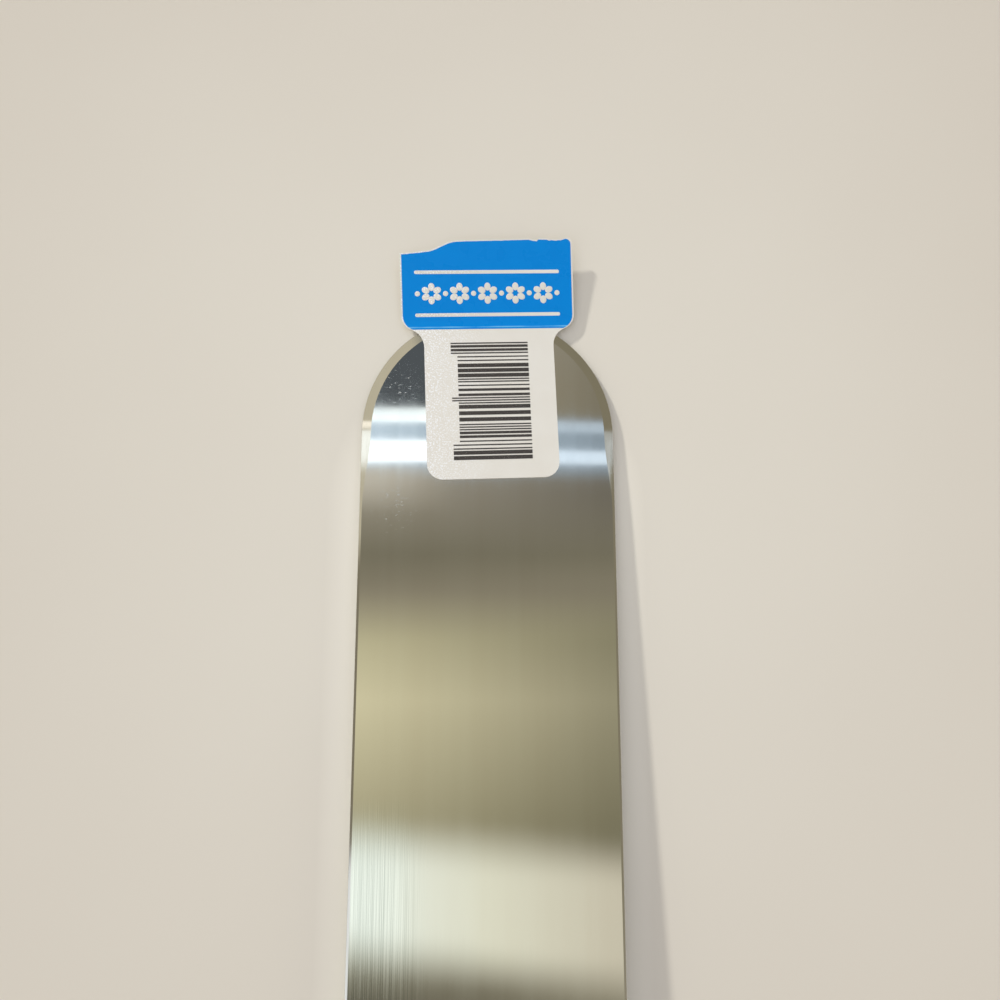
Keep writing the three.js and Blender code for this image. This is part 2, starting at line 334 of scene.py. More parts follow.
shader = add_node(
    tree,
    "ShaderNodeBsdfPrincipled",
    {
        "Base Color": lined_tint.outputs[2],
        "Metallic": 1.0,
        "Roughness": scuffed.outputs[0],
        "Normal": brushed.outputs[0],
    },
)
add_node(tree, "ShaderNodeOutputMaterial", {"Surface": shader.outputs[0]})
dress(blade, steel, "polished_steel", "blade")

# Handle scales
# Two slabs of walnut, sawn from one board, riveted over the tang and then sanded to one rounded grip
# and oiled. The grain runs along the handle.

FRONT_ROUNDING = 0.5 * MM
FRONT_SLACK = 0.01 * MM
handle_low, handle_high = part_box("handle_scale_lower")


def pick(piece, kind, chosen):
    """Selects only the chosen vertices, edges or polygons of a piece and opens it for editing."""
    select_only(piece)
    kinds = ("vertices", "edges", "polygons")
    bpy.context.tool_settings.mesh_select_mode = [kind == each for each in kinds]
    bpy.ops.object.mode_set(mode="EDIT")
    bpy.ops.mesh.select_all(action="DESELECT")
    bpy.ops.object.mode_set(mode="OBJECT")
    for element in getattr(piece.data, kind):
        element.select = chosen(element)
    bpy.ops.object.mode_set(mode="EDIT")


# Walnut, rift sawn: growth rings about a pith below and aside of the handle, fine fibres, and open
# pores drawn out along the grain. The oil leaves a low sheen that the pores break.
RING = 2.6 * MM
PITH = (32 * MM, 0, -30 * MM)
WAVE_PERIOD = 2 * math.pi / 20  # the wave texture's own length of one ring at scale 1
DRIFT = 5 * MM  # how far the rings stray
DRIFT_WIDTH = 16.667 * MM
DRIFT_LENGTH = 111.11 * MM
PORE_WIDTH = 0.32 * MM
PORE_DEPTH = 0.05 * MM
PORE_LENGTH = 5 * MM
FIBRE_WIDTH = 0.8 * MM
FIBRE_LENGTH = 45 * MM
FIBRE_DEPTH = 0.03 * MM
RING_SHARE = 0.42  # of the rings in the tone
FIBRE_SHARE = 0.75  # of the fibres in it
PORE_DULLNESS = 0.3
wood, tree = new_material("walnut_sanded_and_oiled")
place = add_node(tree, "ShaderNodeTexCoord").outputs["Object"]
drift_place = add_node(
    tree,
    "ShaderNodeMapping",
    {"Vector": place, "Scale": (1 / DRIFT_WIDTH, 1 / DRIFT_LENGTH, 1 / DRIFT_WIDTH)},
)
drift = add_node(
    tree,
    "ShaderNodeTexNoise",
    {"Vector": drift_place.outputs[0], "Scale": 1.0, "Detail": 2.0},
)
bent = add_node(
    tree,
    "ShaderNodeVectorMath",
    {0: drift.outputs["Color"], "Scale": DRIFT},
    operation="SCALE",
)
drifted = add_node(tree, "ShaderNodeVectorMath", {0: place, 1: bent.outputs[0]}, operation="ADD")
about_pith = add_node(
    tree,
    "ShaderNodeVectorMath",
    {0: drifted.outputs[0], 1: PITH},
    operation="SUBTRACT",
)
rings = add_node(
    tree,
    "ShaderNodeTexWave",
    {
        "Vector": about_pith.outputs[0],
        "Scale": WAVE_PERIOD / RING,
        "Distortion": 0.6,
        "Detail": 2.0,
    },
    wave_type="RINGS",
    rings_direction="Y",
    wave_profile="SAW",
)
fibres_place = add_node(
    tree,
    "ShaderNodeMapping",
    {"Vector": place, "Scale": (1 / FIBRE_WIDTH, 1 / FIBRE_LENGTH, 1 / FIBRE_WIDTH)},
)
fibres = add_node(
    tree,
    "ShaderNodeTexNoise",
    {"Vector": fibres_place.outputs[0], "Scale": 1.0, "Detail": 4.0, "Roughness": 0.65},
)
pores_place = add_node(
    tree,
    "ShaderNodeMapping",
    {"Vector": place, "Scale": (1 / PORE_WIDTH, 1 / PORE_LENGTH, 1 / PORE_WIDTH)},
)
pores = add_node(
    tree,
    "ShaderNodeTexNoise",
    {"Vector": pores_place.outputs[0], "Scale": 1.0, "Detail": 1.0},
)
open_pores = add_node(
    tree,
    "ShaderNodeMapRange",
    {"Value": pores.outputs[0], "From Min": 0.6, "From Max": 0.7},
)
figure = add_node(
    tree,
    "ShaderNodeMath",
    {0: rings.outputs["Fac"], 1: RING_SHARE},
    operation="MULTIPLY",
)
grain = add_node(
    tree,
    "ShaderNodeMath",
    {0: fibres.outputs[0], 1: FIBRE_SHARE, 2: figure.outputs[0]},
    operation="MULTIPLY_ADD",
)
tone = add_node(
    tree,
    "ShaderNodeValToRGB",
    {"Fac": grain.outputs[0]},
    stops=((0.28, "#8a5c3a"), (0.5, "#6d4428"), (0.7, "#4e2d19"), (0.9, "#331b0f")),
)
pored = add_node(
    tree,
    "ShaderNodeMix",
    {"Factor": open_pores.outputs[0], 6: tone.outputs[0], 7: linear("#22110a")},
    data_type="RGBA",
)
sheen = add_node(
    tree,
    "ShaderNodeMapRange",
    {"Value": grain.outputs[0], "To Min": 0.34, "To Max": 0.5},
)
dull = add_node(
    tree,
    "ShaderNodeMath",
    {0: open_pores.outputs[0], 1: PORE_DULLNESS, 2: sheen.outputs[0]},
    operation="MULTIPLY_ADD",
)
sunk = add_node(
    tree,
    "ShaderNodeBump",
    {"Height": open_pores.outputs[0], "Strength": 1.0, "Distance": PORE_DEPTH},
    invert=True,
)
ridged = add_node(
    tree,
    "ShaderNodeBump",
    {
        "Height": fibres.outputs[0],
        "Strength": 0.6,
        "Distance": FIBRE_DEPTH,
        "Normal": sunk.outputs[0],
    },
)
shader = add_node(
    tree,
    "ShaderNodeBsdfPrincipled",
    {
        "Base Color": pored.outputs[2],
        "Roughness": dull.outputs[0],
        "IOR": 1.5,
        "Coat Weight": 0.25,
        "Coat Roughness": 0.3,
        "Normal": ridged.outputs[0],
    },
)
add_node(tree, "ShaderNodeOutputMaterial", {"Surface": shader.outputs[0]})
for side in ("upper", "lower"):
    scale = copy_of_node(f"handle_scale_{side}", f"walnut_scale_{side}")
    vertices = scale.data.vertices
    pick(
        scale,
        "edges",
        lambda edge: all(vertices[i].co.y > handle_high.y - FRONT_SLACK for i in edge.vertices),
    )
    bpy.ops.mesh.bevel(offset=FRONT_ROUNDING, segments=3)
    bpy.ops.object.mode_set(mode="OBJECT")
    smooth(scale, 35)
    dress(scale, wood, "oiled_hardwood", f"handle_scale_{side}")

# Rivets
# Three brass cutler's rivets, each a headed socket with a headed pin pressed into it, their heads
# sanded flush with the wood.

HEAD_ROUNDING = 0.2 * MM

# Brass, sanded along the handle together with the wood: fine straight scratches, a little tarnish.
SCRATCH_WIDTH = 0.16 * MM  # drawn coarser than the real scratches, so that they show
SCRATCH_LENGTH = 9 * MM
SCRATCH_DEPTH = 0.012 * MM
TARNISH = 3 * MM
brass, tree = new_material("brass_sanded_flush")
place = add_node(tree, "ShaderNodeTexCoord").outputs["Object"]
scratch_place = add_node(
    tree,
    "ShaderNodeMapping",
    {"Vector": place, "Scale": (1 / SCRATCH_WIDTH, 1 / SCRATCH_LENGTH, 1 / SCRATCH_WIDTH)},
)
scratches = add_node(
    tree, "ShaderNodeTexNoise", {"Vector": scratch_place.outputs[0], "Scale": 1.0, "Detail": 2.0}
)
tarnish = add_node(
    tree,
    "ShaderNodeTexNoise",
    {"Vector": place, "Scale": 1 / TARNISH, "Detail": 3.0},
)
metal_tone = add_node(
    tree,
    "ShaderNodeValToRGB",
    {"Fac": tarnish.outputs[0]},
    stops=((0.32, "#b98d4c"), (0.6, "#dcb872")),
)
rough = add_node(
    tree,
    "ShaderNodeMapRange",
    {
        "Value": scratches.outputs[0],
        "From Min": 0.3,
        "From Max": 0.7,
        "To Min": 0.2,
        "To Max": 0.42,
    },
)
scored = add_node(
    tree,
    "ShaderNodeBump",
    {"Height": scratches.outputs[0], "Strength": 0.7, "Distance": SCRATCH_DEPTH},
)
shader = add_node(
    tree,
    "ShaderNodeBsdfPrincipled",
    {
        "Base Color": metal_tone.outputs[0],
        "Metallic": 1.0,
        "Roughness": rough.outputs[0],
        "Normal": scored.outputs[0],
    },
)
add_node(tree, "ShaderNodeOutputMaterial", {"Surface": shader.outputs[0]})
for number in (1, 2, 3):
    for half in ("socket", "pin"):
        rivet = copy_of_node(f"rivet_{number}_{half}", f"brass_rivet_{number}_{half}")
        apply_modifier(
            rivet,
            "BEVEL",
            width=HEAD_ROUNDING,
            segments=3,
            limit_method="ANGLE",
            angle_limit=math.radians(40),
        )
        smooth(rivet, 35)
        dress(rivet, brass, "rivet_brass", f"rivet_{number}_{half}")

# Tag card
# Coated card, die cut and creased, glued to the blade by its tongue. Its header stands out past the
# tip, bent up a little, and its top edge is torn.

CARD = 0.3 * MM
GLUE = 0.05 * MM
CREASE_BACK = 3.5 * MM
TAG_ASIDE = -0.1 * MM
TAG_TURN = math.radians(2.2)
HEADER_LIFT = math.radians(9.5)
BEND_HEIGHT = 2.993 * MM  # the card bends up over this height above the crease
TEAR_FLOOR = 13.5 * MM  # only the torn edge lies higher than this above the crease
TEAR_STEP = 1.2 * MM
TEAR_END = 16.8 * MM  # where the tear turns down at the right
TEAR_RAGS = ((-18 * MM, 0.05 * MM), (9.5 * MM, 0.5 * MM))  # right of here, moved about this much
FACE_UP = 0.9  # at least so far up points the normal of an upper face
EDGE_UP = 0.7  # and at most so far, up or down, the normal of an edge
bend_radius = BEND_HEIGHT / HEADER_LIFT
bend_end = (0, bend_radius * math.sin(HEADER_LIFT), bend_radius * (1 - math.cos(HEADER_LIFT)))
crease = (
    Matrix.Translation((TAG_ASIDE, blade_high.y - CREASE_BACK, blade_high.z + GLUE))
    @ Matrix.Rotation(TAG_TURN, 4, "Z")
)
tongue_face = crease @ Matrix.Translation((0, 0, CARD))
header_face = (
    crease
    @ Matrix.Translation(bend_end)
    @ Matrix.Rotation(HEADER_LIFT, 4, "X")
    @ Matrix.Translation((0, -BEND_HEIGHT, CARD))
)


def put(piece, place):
    """Moves a piece that is modelled at the origin to a place, and keeps the place in its mesh."""
    select_only(piece)
    piece.matrix_world = place @ piece.matrix_world
    bpy.ops.object.transform_apply(location=True, rotation=True, scale=True)


def fray_tear(sheet):
    """Divides a sheet's torn edge into short steps and moves them about in the header's plane."""

    def long_and_torn(edge):
        first, second = [sheet.data.vertices[i].co for i in edge.vertices]
        return min(first.y, second.y) > TEAR_FLOOR and abs(first.x - second.x) > TEAR_STEP

    put(sheet, header_face.inverted())
    while any(long_and_torn(edge) for edge in sheet.data.edges):
        pick(sheet, "edges", long_and_torn)
        bpy.ops.mesh.subdivide(number_cuts=1)
        bpy.ops.object.mode_set(mode="OBJECT")
    for left_end, rag in TEAR_RAGS:
        pick(
            sheet,
            "vertices",
            lambda vertex: vertex.co.y > TEAR_FLOOR and left_end < vertex.co.x < TEAR_END,
        )
        bpy.ops.transform.vertex_random(offset=rag, seed=3)
        bpy.ops.transform.resize(value=(1, 1, 0), center_override=(0, 0, 0))
        bpy.ops.transform.translate(value=(0, -rag / 2, 0))
        bpy.ops.object.mode_set(mode="OBJECT")
    put(sheet, header_face)


# Card with a clay coating, lightly embossed: off-white, with painted highlights, fine cool-white
# glints painted into its colour towards the tag's left, where the glossy coating would glint.
EMBOSS = 0.22 * MM
EMBOSS_DEPTH = 0.02 * MM
PAINTED_GLINT = 0.3 * MM
PAINTED_GLINTS_ASIDE = (1 * MM, -12 * MM)  # from the tag's middle, no glints and all of them
MOTTLE = 6 * MM
card, tree = new_material("card_coated_fine_embossed")
place = add_node(tree, "ShaderNodeTexCoord").outputs["Object"]
grains = add_node(tree, "ShaderNodeTexNoise", {"Vector": place, "Scale": 1 / EMBOSS, "Detail": 2.0})
mottle = add_node(tree, "ShaderNodeTexNoise", {"Vector": place, "Scale": 1 / MOTTLE, "Detail": 3.0})
card_tone = add_node(
    tree,
    "ShaderNodeValToRGB",
    {"Fac": mottle.outputs[0]},
    stops=((0.3, "#e3dfd5"), (0.7, "#e6e3da")),
)
spot = add_node(tree, "ShaderNodeSeparateXYZ", {0: place})
to_left = add_node(
    tree,
    "ShaderNodeMapRange",
    {
        "Value": spot.outputs["X"],
        "From Min": TAG_ASIDE + PAINTED_GLINTS_ASIDE[0],
        "From Max": TAG_ASIDE + PAINTED_GLINTS_ASIDE[1],
    },
)
# Painted highlights: cool-white glints mixed into the card's colour, most towards the tag's left.
painted_glint_peaks = add_node(tree, "ShaderNodeTexNoise", {"Vector": place, "Scale": 1 / PAINTED_GLINT, "Detail": 1.0})
painted_glints = add_node(
    tree,
    "ShaderNodeMapRange",
    {"Value": painted_glint_peaks.outputs[0], "From Min": 0.5, "From Max": 0.68},
)
painted_glint_share = add_node(
    tree, "ShaderNodeMath", {0: painted_glints.outputs[0], 1: to_left.outputs[0]}, operation="MULTIPLY"
)
with_painted_glints = add_node(
    tree,
    "ShaderNodeMix",
    {"Factor": painted_glint_share.outputs[0], 6: card_tone.outputs[0], 7: linear("#fbfdff")},
    data_type="RGBA",
)
gloss = add_node(
    tree,
    "ShaderNodeMapRange",
    {"Value": grains.outputs[0], "From Min": 0.3, "From Max": 0.7, "To Min": 0.3, "To Max": 0.5},
)
embossed = add_node(
    tree,
    "ShaderNodeBump",
    {"Height": grains.outputs[0], "Strength": 0.7, "Distance": EMBOSS_DEPTH},
)
shader = add_node(
    tree,
    "ShaderNodeBsdfPrincipled",
    {
        "Base Color": with_painted_glints.outputs[2],
        "Roughness": gloss.outputs[0],
        "Normal": embossed.outputs[0],
    },
)
add_node(tree, "ShaderNodeOutputMaterial", {"Surface": shader.outputs[0]})

# The card's core where it is torn: bare pulp, matt and whiter than the coating, in short fibres.
PULP_FIBRE = 0.12 * MM  # drawn coarser than the real fibres, so that they show
PULP_DEPTH = 0.06 * MM
core, tree = new_material("card_core_torn_pulp")
place = add_node(tree, "ShaderNodeTexCoord").outputs["Object"]
pulp = add_node(
    tree,
    "ShaderNodeTexNoise",
    {"Vector": place, "Scale": 1 / PULP_FIBRE, "Detail": 3.0, "Distortion": 1.5},
)
pulp_tone = add_node(
    tree,
    "ShaderNodeValToRGB",
    {"Fac": pulp.outputs[0]},
    stops=((0.3, "#dcd8ce"), (0.7, "#f4f2ec")),
)
hairy = add_node(
    tree,
    "ShaderNodeBump",
    {"Height": pulp.outputs[0], "Strength": 1.0, "Distance": PULP_DEPTH},
)
shader = add_node(
    tree,
    "ShaderNodeBsdfPrincipled",
    {"Base Color": pulp_tone.outputs[0], "Roughness": 0.9, "Normal": hairy.outputs[0]},
)
add_node(tree, "ShaderNodeOutputMaterial", {"Surface": shader.outputs[0]})

# Only the card's upper face is kept, and it is made thick again once its tear is frayed.
tag = copy_of_node("hang_tag", "tag_card")
pick(tag, "polygons", lambda face: face.normal.z < FACE_UP)
bpy.ops.mesh.delete(type="FACE")
bpy.ops.object.mode_set(mode="OBJECT")
fray_tear(tag)
bpy.ops.object.duplicate()
blue_print = bpy.context.view_layer.objects.active  # the torn face again, for the print
apply_modifier(tag, "SOLIDIFY", thickness=CARD, offset=-1.0)
smooth(tag, 20)
dress(tag, card, "tag_card", "hang_tag")
tag.data.materials.append(core)
for face in tag.data.polygons:
    face.material_index = 1 if abs(face.normal.z) < EDGE_UP else 0

# Blue print
# A solid of glossy blue ink over the header, up to the crease. A narrow white margin is left along the
# cut edges and the tear.

PRINT_SHARE = (0.982, 0.985, 1)  # of the header
INK = 0.02 * MM
INK_LIFT = 0.012 * MM
RUB_AND_HIGHLIGHT_REACH = 0.9 * MM
RUB_AND_HIGHLIGHT_LENGTH = 6 * MM
INK_CLOUD = 4 * MM

# Process blue ink under a gloss varnish. Along the crease, where the card bends, it is painted pale:
# partly rubbed wear, partly a painted highlight where the varnished bend catches the light.
blue_ink, tree = new_material("ink_blue_gloss_varnished")
place = add_node(tree, "ShaderNodeTexCoord").outputs["Object"]
crease_up = crease.to_3x3() @ Vector((0, 1, 0))
crease_line = crease.translation.dot(crease_up)
above = add_node(tree, "ShaderNodeVectorMath", {0: place, 1: crease_up}, operation="DOT_PRODUCT")
by_crease = add_node(
    tree,
    "ShaderNodeMapRange",
    {"Value": above.outputs["Value"], "From Min": crease_line, "From Max": crease_line + RUB_AND_HIGHLIGHT_REACH},
)
# Painted highlight and wear: a pale line just above the crease, broken up by noise.
rub_and_highlight_line = add_node(
    tree,
    "ShaderNodeValToRGB",
    {"Fac": by_crease.outputs[0]},
    stops=((0.2, "#000000"), (0.4, "#ffffff"), (0.55, "#ffffff"), (0.8, "#000000")),
)
rub_and_highlight_place = add_node(
    tree, "ShaderNodeMapping", {"Vector": place, "Scale": (1 / RUB_AND_HIGHLIGHT_LENGTH, 1 / RUB_AND_HIGHLIGHT_REACH, 1)}
)
rub_and_highlight_noise = add_node(
    tree,
    "ShaderNodeTexNoise",
    {"Vector": rub_and_highlight_place.outputs[0], "Scale": 1.0, "Detail": 3.0},
)
rub_and_highlight_share = add_node(
    tree, "ShaderNodeMath", {0: rub_and_highlight_noise.outputs[0], 1: rub_and_highlight_line.outputs[0]}, operation="MULTIPLY"
)
rubbed_and_highlit = add_node(
    tree, "ShaderNodeMapRange", {"Value": rub_and_highlight_share.outputs[0], "From Min": 0.25, "From Max": 0.6}
)
solid = add_node(
    tree,
    "ShaderNodeTexNoise",
    {"Vector": place, "Scale": 1 / INK_CLOUD, "Detail": 3.0},
)
ink_tone = add_node(
    tree,
    "ShaderNodeValToRGB",
    {"Fac": solid.outputs[0]},
    stops=((0.3, "#0085db"), (0.7, "#0089de")),
)
worn_and_highlit_ink = add_node(
    tree,
    "ShaderNodeMix",
    {"Factor": rubbed_and_highlit.outputs[0], 6: ink_tone.outputs[0], 7: linear("#6cbcec")},
    data_type="RGBA",
)
shine = add_node(
    tree,
    "ShaderNodeMapRange",
    {"Value": solid.outputs[0], "To Min": 0.22, "To Max": 0.34},
)
shader = add_node(
    tree,
    "ShaderNodeBsdfPrincipled",
    {"Base Color": worn_and_highlit_ink.outputs[2], "Roughness": shine.outputs[0], "Specular IOR Level": 0.12},
)
add_node(tree, "ShaderNodeOutputMaterial", {"Surface": shader.outputs[0]})

blue_print.name = "tag_blue_print"
put(blue_print, header_face.inverted())
pick(blue_print, "polygons", lambda face: face.center.y < 0)
bpy.ops.mesh.delete(type="FACE")
bpy.ops.mesh.select_all(action="SELECT")
bpy.ops.transform.resize(value=PRINT_SHARE, center_override=(0, 0, 0))
bpy.ops.transform.translate(value=(0, 0, INK_LIFT))
bpy.ops.object.mode_set(mode="OBJECT")
apply_modifier(blue_print, "SOLIDIFY", thickness=INK, offset=1.0)
put(blue_print, header_face)
smooth(blue_print, 20)
dress(blue_print, blue_ink, "tag_card")

# Rosettes
# A piped icing border, left white in the blue: a row of rosettes with a bead on each side of them, and
# a plain rule above and below.

ROSETTES = 5
PITCH = 5.9 * MM
PETALS = 6
PETAL = 1.35 * MM  # across
PETAL_STRETCH = 1.25
PETAL_RING = 1.4 * MM
BEAD = 1.1 * MM
RULE_LENGTH = 30.6 * MM
RULE_STROKE = 0.75 * MM
RULE_ROUNDING = 0.3 * MM
BORDER_MIDDLE = 7.6 * MM  # above the crease
RULES_AWAY = (4.5 * MM, -4.5 * MM)
WHITE = 0.05 * MM


def row_of(piece, count):
    """Repeats a piece along X, centred on X 0."""
    apply_modifier(
        piece,
        "ARRAY",
        count=count,
        use_relative_offset=False,
        use_constant_offset=True,
        constant_offset_displace=(PITCH, 0, 0),
    )
    bpy.ops.object.mode_set(mode="EDIT")
    bpy.ops.mesh.select_all(action="SELECT")
    bpy.ops.transform.translate(value=(-PITCH * (count - 1) / 2, 0, 0))
    bpy.ops.object.mode_set(mode="OBJECT")
    return piece


bpy.ops.object.select_all(action="DESELECT")
bpy.ops.mesh.primitive_uv_sphere_add(segments=20, ring_count=8, radius=PETAL / 2)
rosette = bpy.context.view_layer.objects.active
bpy.ops.object.mode_set(mode="EDIT")
bpy.ops.mesh.select_all(action="SELECT")
bpy.ops.transform.resize(value=(1, PETAL_STRETCH, 1))
bpy.ops.transform.translate(value=(0, PETAL_RING, 0))
bpy.ops.mesh.spin(
    steps=PETALS - 1,
    dupli=True,
    angle=math.tau * (PETALS - 1) / PETALS,
    center=(0, 0, 0),
    axis=(0, 0, 1),
)
bpy.ops.object.mode_set(mode="OBJECT")
motifs = [row_of(rosette, ROSETTES)]
bpy.ops.object.select_all(action="DESELECT")
bpy.ops.mesh.primitive_uv_sphere_add(segments=20, ring_count=8, radius=BEAD / 2)
motifs.append(row_of(bpy.context.view_layer.objects.active, ROSETTES + 1))
for away in RULES_AWAY:
    bpy.ops.object.select_all(action="DESELECT")
    bpy.ops.mesh.primitive_cylinder_add(
        vertices=16,
        radius=RULE_STROKE / 2,
        depth=RULE_LENGTH,
        location=(0, away, 0),
        rotation=(0, math.pi / 2, 0),
    )
    rule = bpy.context.view_layer.objects.active
    bpy.ops.object.transform_apply(location=True, rotation=True)
    apply_modifier(
        rule,
        "BEVEL",
        width=RULE_ROUNDING,
        segments=3,
        limit_method="ANGLE",
        angle_limit=math.radians(40),
    )
    motifs.append(rule)
select_only(motifs[0])
for motif in motifs[1:]:
    motif.select_set(True)
bpy.ops.object.join()
border = bpy.context.view_layer.objects.active
border.scale.z = WHITE / border.dimensions.z  # pressed flat
smooth(border, 40)
border.name = "tag_rosettes"
put(border, header_face @ Matrix.Translation((0, BORDER_MIDDLE, INK_LIFT + INK)))
dress(border, card, "tag_card")

# Printed bars
# A block of plain bars across the tongue, printed in black on the card's coating. A formula gives the
# widths of the bars and of the gaps between them.

BAR_COUNT = 30
BLOCK_LENGTH = 25.4 * MM
BLOCK_WIDTH = 16.2 * MM
BLOCK_START = 3.0 * MM  # below the crease
BLOCK_COLUMNS = 12
LONG_BARS = (0, 1, 2, 3, 14, 15, 26, 27, 28, 29)  # these bars reach into the first column

# Black ink on the coating, thin enough that the embossing breaks it up a little.
black_ink, tree = new_material("ink_black_on_coated_card")
place = add_node(tree, "ShaderNodeTexCoord").outputs["Object"]
grains = add_node(tree, "ShaderNodeTexNoise", {"Vector": place, "Scale": 1 / EMBOSS, "Detail": 2.0})
black_tone = add_node(
    tree,
    "ShaderNodeValToRGB",
    {"Fac": grains.outputs[0]},
    stops=((0.35, "#2f2b29"), (0.62, "#45403d"), (0.72, "#7d7873")),
)
shader = add_node(
    tree, "ShaderNodeBsdfPrincipled", {"Base Color": black_tone.outputs[0], "Roughness": 0.42}
)
add_node(tree, "ShaderNodeOutputMaterial", {"Surface": shader.outputs[0]})

bar_rows = []  # the bar that lies in each row of the block, or no bar
for number in range(BAR_COUNT):
    bar_rows += [number] * (1 + (5 * number * number + 7 * number) % 11 % 3)
    bar_rows += [None] * (1 + (3 * number * number + 4 * number) % 7 % 3)
bpy.ops.object.select_all(action="DESELECT")
bpy.ops.mesh.primitive_grid_add(x_subdivisions=BLOCK_COLUMNS, y_subdivisions=len(bar_rows), size=1)
bars = bpy.context.view_layer.objects.active


def left_bare(face):
    """Whether no ink goes on this cell of the block."""
    bar = bar_rows[int((0.5 - face.center.y) * len(bar_rows))]
    first_column = face.center.x < 1 / BLOCK_COLUMNS - 0.5
    return bar is None or (first_column and bar not in LONG_BARS)


pick(bars, "polygons", left_bare)
bpy.ops.mesh.delete(type="FACE")
bpy.ops.mesh.select_all(action="SELECT")
bpy.ops.mesh.dissolve_limited(angle_limit=FLAT_TURN)
bpy.ops.object.mode_set(mode="OBJECT")
bars.scale = (BLOCK_WIDTH, BLOCK_LENGTH, 1)
block_middle = (0, -BLOCK_START - BLOCK_LENGTH / 2, INK_LIFT)
bars.name = "tag_printed_bars"
put(bars, tongue_face @ Matrix.Translation(block_middle))
apply_modifier(bars, "SOLIDIFY", thickness=INK, offset=1.0)
dress(bars, black_ink, "tag_card")

# Floor
# A plain pale table. The spatula lies on the end of its tip and the front of its handle, so seen in
# the blade's own frame the table slopes.

FLOOR_SIZE = 60.0
FRONT_RAMP = 19 * MM  # back from the handle's front, where its underside is level
TIP_GRIND = 1.9 * MM
tip_contact = Vector((0, blade_high.y - TIP_GRIND, blade_low.z))
handle_contact = Vector((0, handle_high.y - FRONT_RAMP, handle_low.z))
slope = math.atan2(tip_contact.z - handle_contact.z, tip_contact.y - handle_contact.y)
bpy.ops.object.select_all(action="DESELECT")
bpy.ops.mesh.primitive_plane_add(size=FLOOR_SIZE, location=handle_contact, rotation=(slope, 0, 0))
floor = bpy.context.view_layer.objects.active
floor.name = "table"

# Matt laminate, faintly clouded, with light painted into its colour: a painted pool of light near the
# tip that darkens with distance, and a painted gleam close beside the blade, where light off the steel
# reaches it.
PAINTED_FALLOFF = (60 * MM, 230 * MM)  # the table gets darker over these distances
PAINTED_FALLOFF_BACK = 25 * MM  # of the fade's middle, back from the tip
CLOUD = 90 * MM
CLOUD_SHIFT = 80 * MM  # how far the clouds shift the fade
PAINTED_GLEAM = 7 * MM
PAINTED_GLEAM_BACK = 14 * MM  # the gleam starts this far behind the middle of the round tip
PAINTED_GLEAM_END = 60 * MM  # and ends this far in front of the handle
table, tree = new_material("table_laminate_pale_matt")
place = add_node(tree, "ShaderNodeTexCoord").outputs["Object"]
middle = (0, blade_high.y - PAINTED_FALLOFF_BACK - handle_contact.y, 0)
away = add_node(tree, "ShaderNodeVectorMath", {0: place, 1: middle}, operation="DISTANCE")
clouds = add_node(tree, "ShaderNodeTexNoise", {"Vector": place, "Scale": 1 / CLOUD, "Detail": 2.0})
clouded = add_node(
    tree,
    "ShaderNodeMath",
    {0: clouds.outputs[0], 1: CLOUD_SHIFT, 2: away.outputs["Value"]},
    operation="MULTIPLY_ADD",
)
# Painted shade: the table's colour darkens away from the tip, as a pool of light would.
painted_falloff = add_node(
    tree,
    "ShaderNodeMapRange",
    {"Value": clouded.outputs[0], "From Min": PAINTED_FALLOFF[0], "From Max": PAINTED_FALLOFF[1]},
)
table_tone_with_painted_falloff = add_node(
    tree,
    "ShaderNodeValToRGB",
    {"Fac": painted_falloff.outputs[0]},
    stops=((0.0, "#e2ddd1"), (1.0, "#d3cbbe")),
)
spot = add_node(tree, "ShaderNodeSeparateXYZ", {0: place})
half_width = blade_high.x
painted_gleam_start = blade_high.y - half_width - PAINTED_GLEAM_BACK - handle_contact.y
beside = add_node(
    tree,
    "ShaderNodeClamp",
    {"Value": spot.outputs["Y"], "Min": FRONT_RAMP + PAINTED_GLEAM_END, "Max": painted_gleam_start},
)
ahead = add_node(
    tree, "ShaderNodeMath", {0: spot.outputs["Y"], 1: beside.outputs[0]}, operation="SUBTRACT"
)
off_middle = add_node(tree, "ShaderNodeCombineXYZ", {"X": spot.outputs["X"], "Y": ahead.outputs[0]})
off_blade = add_node(tree, "ShaderNodeVectorMath", {0: off_middle.outputs[0]}, operation="LENGTH")
# Painted light: the table's colour is lighter close beside the blade.
painted_gleam = add_node(
    tree,
    "ShaderNodeMapRange",
    {"Value": off_blade.outputs["Value"], "From Min": half_width + PAINTED_GLEAM, "From Max": half_width},
)
tone_with_painted_gleam = add_node(
    tree,
    "ShaderNodeMix",
    {"Factor": painted_gleam.outputs[0], 6: table_tone_with_painted_falloff.outputs[0], 7: linear("#f1ecdf")},
    data_type="RGBA",
)
shader = add_node(
    tree,
    "ShaderNodeBsdfPrincipled",
    {"Base Color": tone_with_painted_gleam.outputs[2], "Roughness": 0.9, "Specular IOR Level": 0.0},
)
add_node(tree, "ShaderNodeOutputMaterial", {"Surface": shader.outputs[0]})
floor.data.materials.append(table)

# Light
# A dim warm room overhead, which the blade mirrors, with strip lamps in it past the tip, the far ones
# mirrored by the ground rim alone. A pale horizon goes on from the floor, a broad ceiling lamp fills,
# and a sun from the left casts the shadow.

